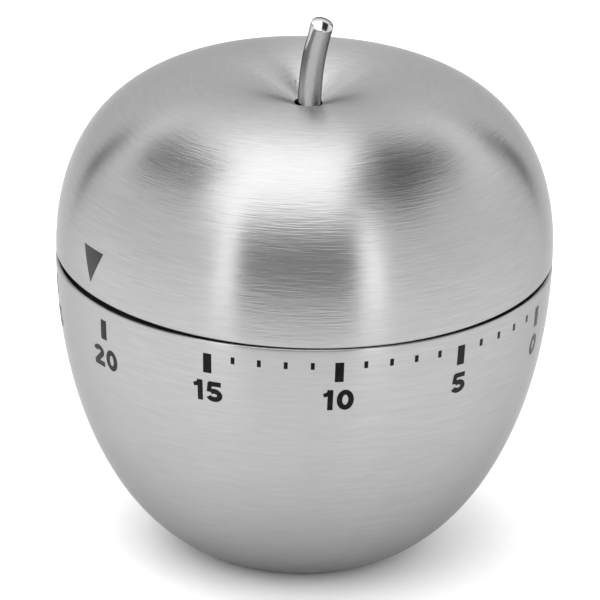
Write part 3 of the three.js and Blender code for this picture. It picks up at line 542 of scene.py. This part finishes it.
def dome():
    """The dial: from its folded edge at the seam over the crest and down to the stem's hole."""
    bottom, bend = BOWL_HIGH.z + mm(0.5), mm(7)
    rising = [p for p in BOWL if p[1] > bottom + EDGE_ROOM] + DOME[1:-1]
    outside = rising + dimple_line()
    inside = offset(outside, SHEET)
    edge = seam_edge(radius_at(BOWL, bottom), bottom, -1)

    def askew(r, z, angle):
        edge_height = BOWL_HIGH.z + wave(BOWL_EDGE, angle) + wave(SEAM_GAP, angle)
        return r, z + (edge_height - bottom) * fade(z - bottom, bend)

    bm = turned([*outside, *reversed(inside), *reversed(edge)], shape=askew)
    piece = from_bmesh("dome_shell", bm, STEEL_DOME, 40)
    return settle(piece, "dial", "brushed_steel", "dome")


# ---------------------------------------------------------------- stem


def stem_path(count):
    """Points and directions up the stem's centre: upright at its foot, then one gentle bend."""
    sunk = mm(0.6)
    bend_radius = STEM_RISE / math.sin(STEM_BEND)
    lean = Vector((math.cos(STEM_BEARING), math.sin(STEM_BEARING), 0))
    path = [(STEM_FOOT + Vector((0, 0, DIMPLE - sunk)), Vector((0, 0, 1)))]
    for i in range(count + 1):
        turn = STEM_BEND * i / count
        rise = Vector((0, 0, DIMPLE + bend_radius * math.sin(turn)))
        place = STEM_FOOT + rise + lean * bend_radius * (1 - math.cos(turn))
        path.append((place, lean * math.sin(turn) + Vector((0, 0, math.cos(turn)))))
    return path


def stem():
    """Bar with a shallow button end, nipped a little for a short way on one side below the end."""
    sides, steps = 64, 60
    rounding, rounding_turn, rounding_steps = mm(0.14), math.radians(60), 4
    crown_height, crown_steps = mm(0.44), 12
    nip_place, nip_length = 0.80, 0.12  # as shares of the stem's length
    nip_depth, nip_side = mm(0.10), math.radians(200)
    path = stem_path(steps)
    bm = bmesh.new()
    rings = []

    def ring(centre, direction, radius, along):
        side = direction.cross(Vector((0, -1, 0))).normalized()
        front = side.cross(direction).normalized()
        nip = nip_depth * math.exp(-(((along - nip_place) / nip_length) ** 2))
        verts = []
        for i in range(sides):
            angle = 2 * math.pi * i / sides
            facing = max(math.cos(angle - nip_side), 0) ** 3
            reach = radius - nip * facing
            out = side * reach * math.cos(angle) + front * reach * math.sin(angle)
            verts.append(bm.verts.new(centre + out))
        rings.append(verts)

    for i, (centre, direction) in enumerate(path):
        ring(centre, direction, STEM_RADIUS, i / len(path))
    end, direction = path[-1]
    for i in range(1, rounding_steps + 1):
        turn = rounding_turn * i / rounding_steps
        inset = rounding * (1 - math.cos(turn))
        ring(end + direction * rounding * math.sin(turn), direction, STEM_RADIUS - inset, 1)
    crown = STEM_RADIUS - rounding * (1 - math.cos(rounding_turn))
    for i in range(1, crown_steps):
        share = 1 - i / crown_steps
        height = rounding * math.sin(rounding_turn) + crown_height * (1 - share**2)
        ring(end + direction * height, direction, crown * share, 1)
    for low, high in zip(rings, rings[1:]):
        for i in range(sides):
            j = (i + 1) % sides
            bm.faces.new((low[i], low[j], high[j], high[i]))
    bm.faces.new(rings[0])
    bm.faces.new(rings[-1])
    piece = from_bmesh("stem_bar", bm, POLISHED, 50)
    return settle(piece, "dial", "polished_steel", "stem")


# ---------------------------------------------------------------- printed scale


def stroke(path, width, closed=False):
    """A pen stroke of even width along flat points, as one four-cornered face for each straight run."""
    points = [Vector(p) for p in path]
    count = len(points)
    sides = []
    for i, point in enumerate(points):
        before = points[i - 1] if closed or i > 0 else None
        after = points[(i + 1) % count] if closed or i < count - 1 else None
        into = (point - before).normalized() if before else None
        out = (after - point).normalized() if after else None
        along = ((into or out) + (out or into)).normalized()
        square = Vector((-along.y, along.x))
        reach = width / 2 / max(along.dot(into or out), 0.42)
        sides.append((point + square * reach, point - square * reach))
    runs = zip(sides, sides[1:] + sides[:1]) if closed else zip(sides, sides[1:])
    return [[a[0], a[1], b[1], b[0]] for a, b in runs]


def oval(centre, half_width, half_height, start=0, end=360, count=28):
    """Points round an oval, or a part of it, with angles in degrees."""
    angles = [math.radians(start + (end - start) * i / count) for i in range(count + 1)]
    x, y = centre
    return [(x + half_width * math.cos(a), y + half_height * math.sin(a)) for a in angles]


DIGIT_HEIGHT = mm(2.7)
PEN = 0.245  # width of a stroke, as a share of the digit's height


def digit_strokes(digit):
    """The strokes of a bold upright digit 0 to 5, in a space one high, and its width."""
    h = PEN / 2
    wide = 0.76
    middle = wide / 2
    if digit == "0":
        return [stroke(oval((middle, 0.5), middle - h, 0.5 - h)[:-1], PEN, True)], wide
    if digit == "1":
        flag = [(0.02, 0.735), (0.15, 0.765), (0.25, 0.84), (0.30, 0.99)]
        return [stroke([(0.33, 0), (0.33, 1)], PEN), stroke(flag, PEN * 0.78)], 0.33 + h
    if digit == "2":
        bowl = oval((middle, 0.69), middle - h, 0.31 - h, 172, -30, 18)
        return [stroke([*bowl, (0.13, 0.16)], PEN), stroke([(0.02, h), (wide, h)], PEN)], wide
    if digit == "3":
        upper = oval((middle - 0.02, 0.735), middle - h - 0.02, 0.265 - h, 165, -88, 18)
        lower = oval((middle - 0.02, 0.29), middle - h, 0.29 - h, 88, -165, 18)
        return [stroke(upper, PEN), stroke(lower, PEN)], wide
    if digit == "4":
        return [
            stroke([(0.56, 0), (0.56, 1)], PEN),
            stroke([(0.54, 0.95), (0.10, 0.32)], PEN * 0.85),
            stroke([(0.02, 0.31), (0.78, 0.31)], PEN * 0.88),
        ], 0.78
    bowl = oval((middle - 0.01, 0.325), middle - h + 0.01, 0.325 - h, 128, -160, 20)
    return [
        stroke([(0.14, 1 - h), (0.70, 1 - h)], PEN * 0.95),
        stroke([(0.19, 0.94), (0.135, 0.47)], PEN * 0.88),
        stroke(bowl, PEN),
    ], wide


def number_faces(number):
    """Faces of a printed number, in metres, centred on x = 0 with its top at y = 0."""
    space = 0.16
    faces, cursor = [], 0
    for digit in str(number):
        strokes, width = digit_strokes(digit)
        for run in strokes:
            faces += [[(x + cursor, y - 1) for x, y in face] for face in run]
        cursor += width + space
    centre = (cursor - space) / 2
    return [[((x - centre) * DIGIT_HEIGHT, y * DIGIT_HEIGHT) for x, y in face] for face in faces]


def rectangle(width, height):
    """A mark centred on x = 0 with its top at y = 0."""
    return [[(-width / 2, 0), (-width / 2, -height), (width / 2, -height), (width / 2, 0)]]


def flat_union(faces, spacing):
    """One set of triangles that covers all the faces, with lines across it both ways to bend at."""
    points, loops, edges = [], [], []
    for face in faces:
        loops.append(list(range(len(points), len(points) + len(face))))
        points += [Vector(p) for p in face]
    left, right = min(p.x for p in points), max(p.x for p in points)
    low, high = min(p.y for p in points), max(p.y for p in points)
    for i in range(1, math.ceil((right - left) / spacing)):
        x = left + i * spacing
        edges.append((len(points), len(points) + 1))
        points += [Vector((x, low)), Vector((x, high))]
    for i in range(1, math.ceil((high - low) / spacing)):
        y = low + i * spacing
        edges.append((len(points), len(points) + 1))
        points += [Vector((left, y)), Vector((right, y))]
    verts, _, tris, _, _, inside = delaunay_2d_cdt(points, edges, loops, 0, 1e-9, True)
    kept = [tri for tri, sources in zip(tris, inside) if sources]
    return verts, kept


INK_TOP = mm(0.014)  # how far the ink stands proud of the shell
INK_SINK = mm(0.010)
INK_SPACING = mm(0.3)


def add_print(bm, faces, angle, height, line):
    """Wraps flat faces onto the shell whose profile is line: x runs round it, y runs up it."""
    verts, tris = flat_union(faces, INK_SPACING)
    used = sorted({i for tri in tris for i in tri})
    layers = []
    for proud in (INK_TOP, -INK_SINK):
        made = {}
        for i in used:
            z = height + verts[i].y
            r = radius_at(line, z)
            turn = angle + verts[i].x / r
            made[i] = bm.verts.new(((r + proud) * math.sin(turn), -(r + proud) * math.cos(turn), z))
        layers.append(made)
    top, bottom = layers
    border = {}
    for tri in tris:
        bm.faces.new([top[i] for i in tri])
        bm.faces.new([bottom[i] for i in reversed(tri)])
        for a, b in zip(tri, tri[1:] + tri[:1]):
            border[frozenset((a, b))] = None if frozenset((a, b)) in border else (a, b)
    for edge in border.values():
        if edge:
            a, b = edge
            bm.faces.new((top[b], top[a], bottom[a], bottom[b]))


def minute_angle(minute):
    """Where a minute is printed. The scale is a little off centre, which spreads it at both sides."""
    angle = ZERO_ANGLE - minute * MINUTE
    return angle + OFF_CENTRE * math.sin(angle)


MARKS_TOP = SEAM - mm(1.98)
MAJOR_MARK = (mm(1.06), mm(2.52))  # width and height
MINOR_MARK = (mm(0.47), mm(0.88))
NUMBER_TOP = MARKS_TOP - MAJOR_MARK[1] - mm(1.05)
MAJOR_STEP = 5
LAST_MINOR = 15


def minute_marks():
    """A long mark every five minutes all round, and short ones for the last quarter hour."""
    bm = bmesh.new()
    for minute in range(60):
        if minute % MAJOR_STEP == 0:
            add_print(bm, rectangle(*MAJOR_MARK), minute_angle(minute), MARKS_TOP, BOWL)
        elif minute < LAST_MINOR:
            add_print(bm, rectangle(*MINOR_MARK), minute_angle(minute), MARKS_TOP, BOWL)
    return settle(from_bmesh("minute_marks", bm, INK), "base", "black_plastic")


def minute_numbers():
    """A number under each long mark."""
    bm = bmesh.new()
    for minute in range(0, 60, MAJOR_STEP):
        add_print(bm, number_faces(minute), minute_angle(minute), NUMBER_TOP, BOWL)
    return settle(from_bmesh("minute_numbers", bm, INK), "base", "black_plastic")


def pointer():
    """A solid triangle on the dome that points down at the scale."""
    half_width, height = mm(2.15), mm(4.2)
    tip = SEAM + mm(1.97)
    bm = bmesh.new()
    outline = [(-half_width, height), (0, 0), (half_width, height)]
    line = BOWL[-8:] + DOME[1:]
    add_print(bm, [outline], POINTER_ANGLE, tip, line)
    return settle(from_bmesh("pointer_mark", bm, POINTER_INK), "dial", "black_plastic")


# ---------------------------------------------------------------- underside


def foot_ring():
    """The rubber ring that the timer stands on."""
    low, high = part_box("foot_ring")
    outer, inner, lift = high.x, mm(9.3), mm(0.22)
    profile = [
        (inner, high.z),
        *arc((inner + lift, lift), lift, 180, 270, 6),
        *arc((outer - lift, lift), lift, 270, 360, 6),
        (outer, high.z),
    ]
    piece = from_bmesh("foot_rubber_ring", turned(profile, 160), RUBBER)
    return settle(piece, "base", "rubber", "foot_ring")


SCREW_CIRCLE = mm(6.9)
THIRDS = [2 * math.pi * n / 3 for n in range(3)]
BEYOND = mm(1)  # how far a cutting shape reaches past what it cuts


def at(bm, radius, angle):
    """Moves a mesh out from the axis and turns it about the axis."""
    move = Matrix.Rotation(angle, 4, "Z") @ Matrix.Translation((radius, 0, 0))
    bmesh.ops.transform(bm, verts=bm.verts, matrix=move)
    return bm


def disc(radius, low, high, sides=48):
    """A round plug on the axis."""
    return turned([(0, low), (radius, low), (radius, high), (0, high)], sides)


def slot_outline(start, end, half):
    """A round-ended slot along x."""
    right = arc((end - half, 0), half, -90, 90, 8)
    left = arc((start + half, 0), half, 90, 270, 8)
    return right + left


def base_cover():
    """The moulded disc under the timer, with sound slots, screw recesses and the rubber ring's groove."""
    low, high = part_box("base_cover")
    outer, edge = high.x, mm(0.18)
    dish_depth, dish_floor, dish_edge = mm(0.12), mm(1.55), mm(1.75)
    groove_in, groove_out, groove = mm(9.24), mm(11.36), mm(1.06)
    recess_radius, recess_depth, hole_radius = mm(1.72), mm(0.9), mm(0.86)
    slot_end, slot_half = mm(8.1), mm(0.5)
    slots = [(mm(2.4), 0), (mm(3.6), 24), (mm(3.6), -24)]  # where each starts, and its turn in degrees
    profile = [
        (0, high.z),
        (0, low.z + dish_depth),
        (dish_floor, low.z + dish_depth),
        (dish_edge, low.z),
        (groove_in, low.z),
        (groove_in, groove),
        (groove_out, groove),
        (groove_out, low.z),
        (outer - edge, low.z),
        (outer, low.z + edge),
        (outer, high.z),
    ]
    piece = from_bmesh("base_cover_moulding", turned(profile, 160), BLACK)
    cutters = []
    for n, angle in enumerate(THIRDS):
        recess = at(disc(recess_radius, -BEYOND, low.z + recess_depth), SCREW_CIRCLE, angle)
        hole = at(disc(hole_radius, -BEYOND, high.z + BEYOND), SCREW_CIRCLE, angle)
        cutters += [from_bmesh(f"recess_{n}", recess, BLACK), from_bmesh(f"hole_{n}", hole, BLACK)]
        for m, (start, turn) in enumerate(slots):
            slot = prism(slot_outline(start, slot_end, slot_half), -BEYOND, high.z + BEYOND)
            slot = at(slot, 0, angle + math.pi / 3 + math.radians(turn))
            cutters.append(from_bmesh(f"slot_{n}_{m}", slot, BLACK))
    return settle(cut(piece, *cutters), "base", "black_plastic", "base_cover")


def base_screw(n):
    """A cross-head screw seen from below, sunk in its recess."""
    node = f"base_screw_{n + 1}"
    low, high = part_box(node)
    head, shank, seat = mm(1.5), mm(0.75), mm(1.19)
    rounding, point = mm(0.3), mm(0.4)
    arm_reach, arm_half, arm_depth = mm(0.85), mm(0.17), mm(0.42)
    head_edge = arc((head - rounding, low.z + rounding), rounding, 0, -90, 6)
    profile = [
        (0, low.z),
        *reversed(head_edge),
        (head, seat),
        (shank, seat),
        (shank, high.z - point),
        (shank * 0.5, high.z),
        (0, high.z),
    ]
    screw = at(turned(profile, 64), SCREW_CIRCLE, THIRDS[n])
    piece = from_bmesh(f"cover_screw_{n + 1}", screw, SCREW)
    arms = []
    for turn in (20, 110):
        arm = prism(slot_outline(-arm_reach, arm_reach, arm_half), -BEYOND, low.z + arm_depth)
        bmesh.ops.rotate(arm, verts=arm.verts, matrix=Matrix.Rotation(math.radians(turn), 3, "Z"))
        arms.append(from_bmesh(f"arm_{n}_{turn}", at(arm, SCREW_CIRCLE, THIRDS[n]), SCREW))
    return settle(cut(piece, *arms), "base", "screw_steel", node)


# ---------------------------------------------------------------- light, floor and camera

TARGET = Vector((0, 0, SEAM))
AMBIENT = 1.3  # radiance of the room all round
PANEL_CELLS = 24


def panel_mesh(name, azimuth, elevation, size, tilt, reach):
    """A rectangular patch of a sphere round the timer, with flat coordinates from 0 to 1 both ways."""
    to_side = Matrix.Rotation(math.radians(azimuth), 3, "Z")
    to_height = Matrix.Rotation(math.radians(-elevation), 3, "X")
    turn = to_side @ to_height @ Matrix.Rotation(math.radians(tilt), 3, "Y")
    mesh = bpy.data.meshes.new(name)
    verts, faces, uvs = [], [], []
    for j in range(PANEL_CELLS + 1):
        up = math.radians(size[1] * (j / PANEL_CELLS - 0.5))
        for i in range(PANEL_CELLS + 1):
            side = math.radians(size[0] * (i / PANEL_CELLS - 0.5))
            level = Vector((math.sin(side), -math.cos(side), 0)) * math.cos(up)
            ray = turn @ (level + Vector((0, 0, math.sin(up))))
            verts.append(TARGET + ray * reach)
            uvs.append((i / PANEL_CELLS, j / PANEL_CELLS))
    row = PANEL_CELLS + 1
    for j in range(PANEL_CELLS):
        for i in range(PANEL_CELLS):
            corner = j * row + i
            faces.append((corner, corner + 1, corner + row + 1, corner + row))
    mesh.from_pydata(verts, [], faces)
    layer = mesh.uv_layers.new(name="panel")
    for loop in mesh.loops:
        layer.data[loop.index].uv = uvs[loop.vertex_index]
    return mesh


def panel(name, azimuth, elevation, size, radiance, feather, tilt=0, reach=0.5):
    """A studio panel that faces the timer.

    azimuth (from the front towards +X), elevation, size (width and height) and tilt (clockwise, from
    inside) are in degrees, and reach is its distance. It fades out over feather, a share of its width and
    of its height. A panel darker than the room is a flag: only the steel reflects it.
    """
    mesh = panel_mesh(name, azimuth, elevation, size, tilt, reach)
    m = Material(name)
    u, v, _ = m.parts(m.node("ShaderNodeTexCoord", output="UV"))
    across, along = feather
    cover = (0.5 - abs(u - 0.5)).smooth(0, across) * (0.5 - abs(v - 0.5)).smooth(0, along)
    light = m.node("ShaderNodeEmission", inputs={"Strength": radiance})
    clear = m.node("ShaderNodeBsdfTransparent")
    m.finish(m.node("ShaderNodeMixShader", inputs={0: cover, 1: clear, 2: light}))
    piece = bpy.data.objects.new(name, mesh)
    bpy.context.scene.collection.objects.link(piece)
    mesh.materials.append(m.data)
    piece.visible_camera = False
    piece.visible_shadow = False
    piece.visible_diffuse = radiance > AMBIENT


def studio():
    """An even white room, with bright panels and black flags for the steel to reflect."""
    world = bpy.data.worlds.new("studio")
    world.use_nodes = True
    background = world.node_tree.nodes["Background"]
    background.inputs["Color"].default_value = (1, 1, 1, 1)
    background.inputs["Strength"].default_value = AMBIENT
    bpy.context.scene.world = world
    panel("softbox", -54, 75, (64, 84), 3.0, (0.08, 0.16), tilt=-54)
    panel("back_light", 180, 52, (150, 34), 1.75, (0.25, 0.3))
    panel("strip_left", -33.5, 14, (15, 84), 2.8, (0.35, 0.3), reach=0.25)
    panel("strip_right", 30, 12, (14, 84), 3.0, (0.35, 0.3), reach=0.25)
    panel("flag_front", -3, 16, (56, 62), 0.12, (0.07, 0.3), reach=0.24)
    panel("flag_left", -103, 50, (54, 32), 0.0, (0.3, 0.25), tilt=-35, reach=0.47)
    panel("flag_right", 92, 60, (72, 36), 0.06, (0.25, 0.18), reach=0.47)
    panel("edge_left", -130, 13, (11, 48), 0.0, (0.3, 0.3), reach=0.47)
    panel("edge_right", 136, 13, (12, 48), 0.0, (0.3, 0.3), reach=0.47)


def floor():
    """A plain near-white floor, a hair below the timer's foot."""
    bm = bmesh.new()
    just_below = Matrix.Translation((0, 0, mm(-0.02)))
    bmesh.ops.create_grid(bm, x_segments=8, y_segments=8, size=4, matrix=just_below)
    m = Material("floor_white")
    tone = m.noise(m.place(), 3, 2.0)
    m.principled(Base_Color=m.mix(tone, (0.90, 0.90, 0.90), (0.92, 0.92, 0.92)), Roughness=0.9)
    from_bmesh("floor", bm, m.data)


def camera():
    """At the front, looking down a little through a long lens, with a slight roll."""
    elevation, roll, distance = math.radians(22.18), math.radians(1.476), 0.939
    aim_left, aim_below = mm(0.378), mm(5.764)
    right = Vector((1, 0, 0))
    up = Vector((0, math.sin(elevation), math.cos(elevation)))
    back = Vector((0, -math.cos(elevation), math.sin(elevation)))
    aim = TARGET - right * aim_left - up * aim_below
    across = right * math.cos(roll) + up * math.sin(roll)
    upward = up * math.cos(roll) - right * math.sin(roll)
    data = bpy.data.cameras.new("camera")
    data.lens = 466.7
    data.sensor_width = 36
    data.clip_start, data.clip_end = 0.01, 20
    piece = bpy.data.objects.new("camera", data)
    turn = Matrix((across, upward, back)).transposed().to_4x4()
    piece.matrix_world = Matrix.Translation(aim + back * distance) @ turn
    bpy.context.scene.collection.objects.link(piece)
    bpy.context.scene.camera = piece


# ---------------------------------------------------------------- assembly


def dress_nodes():
    """Gives every node of the model the finish of its slot."""
    slots = {row["node"]: row["material_slot"] for row in frame["record"]["subparts"]}
    for name, node in frame["nodes"].items():
        node.data.materials.clear()
        node.data.materials.append(FINISH[slots[name]])


dress_nodes()
lower_shell()
dome()
stem()
minute_marks()
minute_numbers()
pointer()
foot_ring()
base_cover()
for screw_number in range(3):
    base_screw(screw_number)
studio()
floor()
camera()
bpy.context.scene.view_settings.view_transform = "Standard"
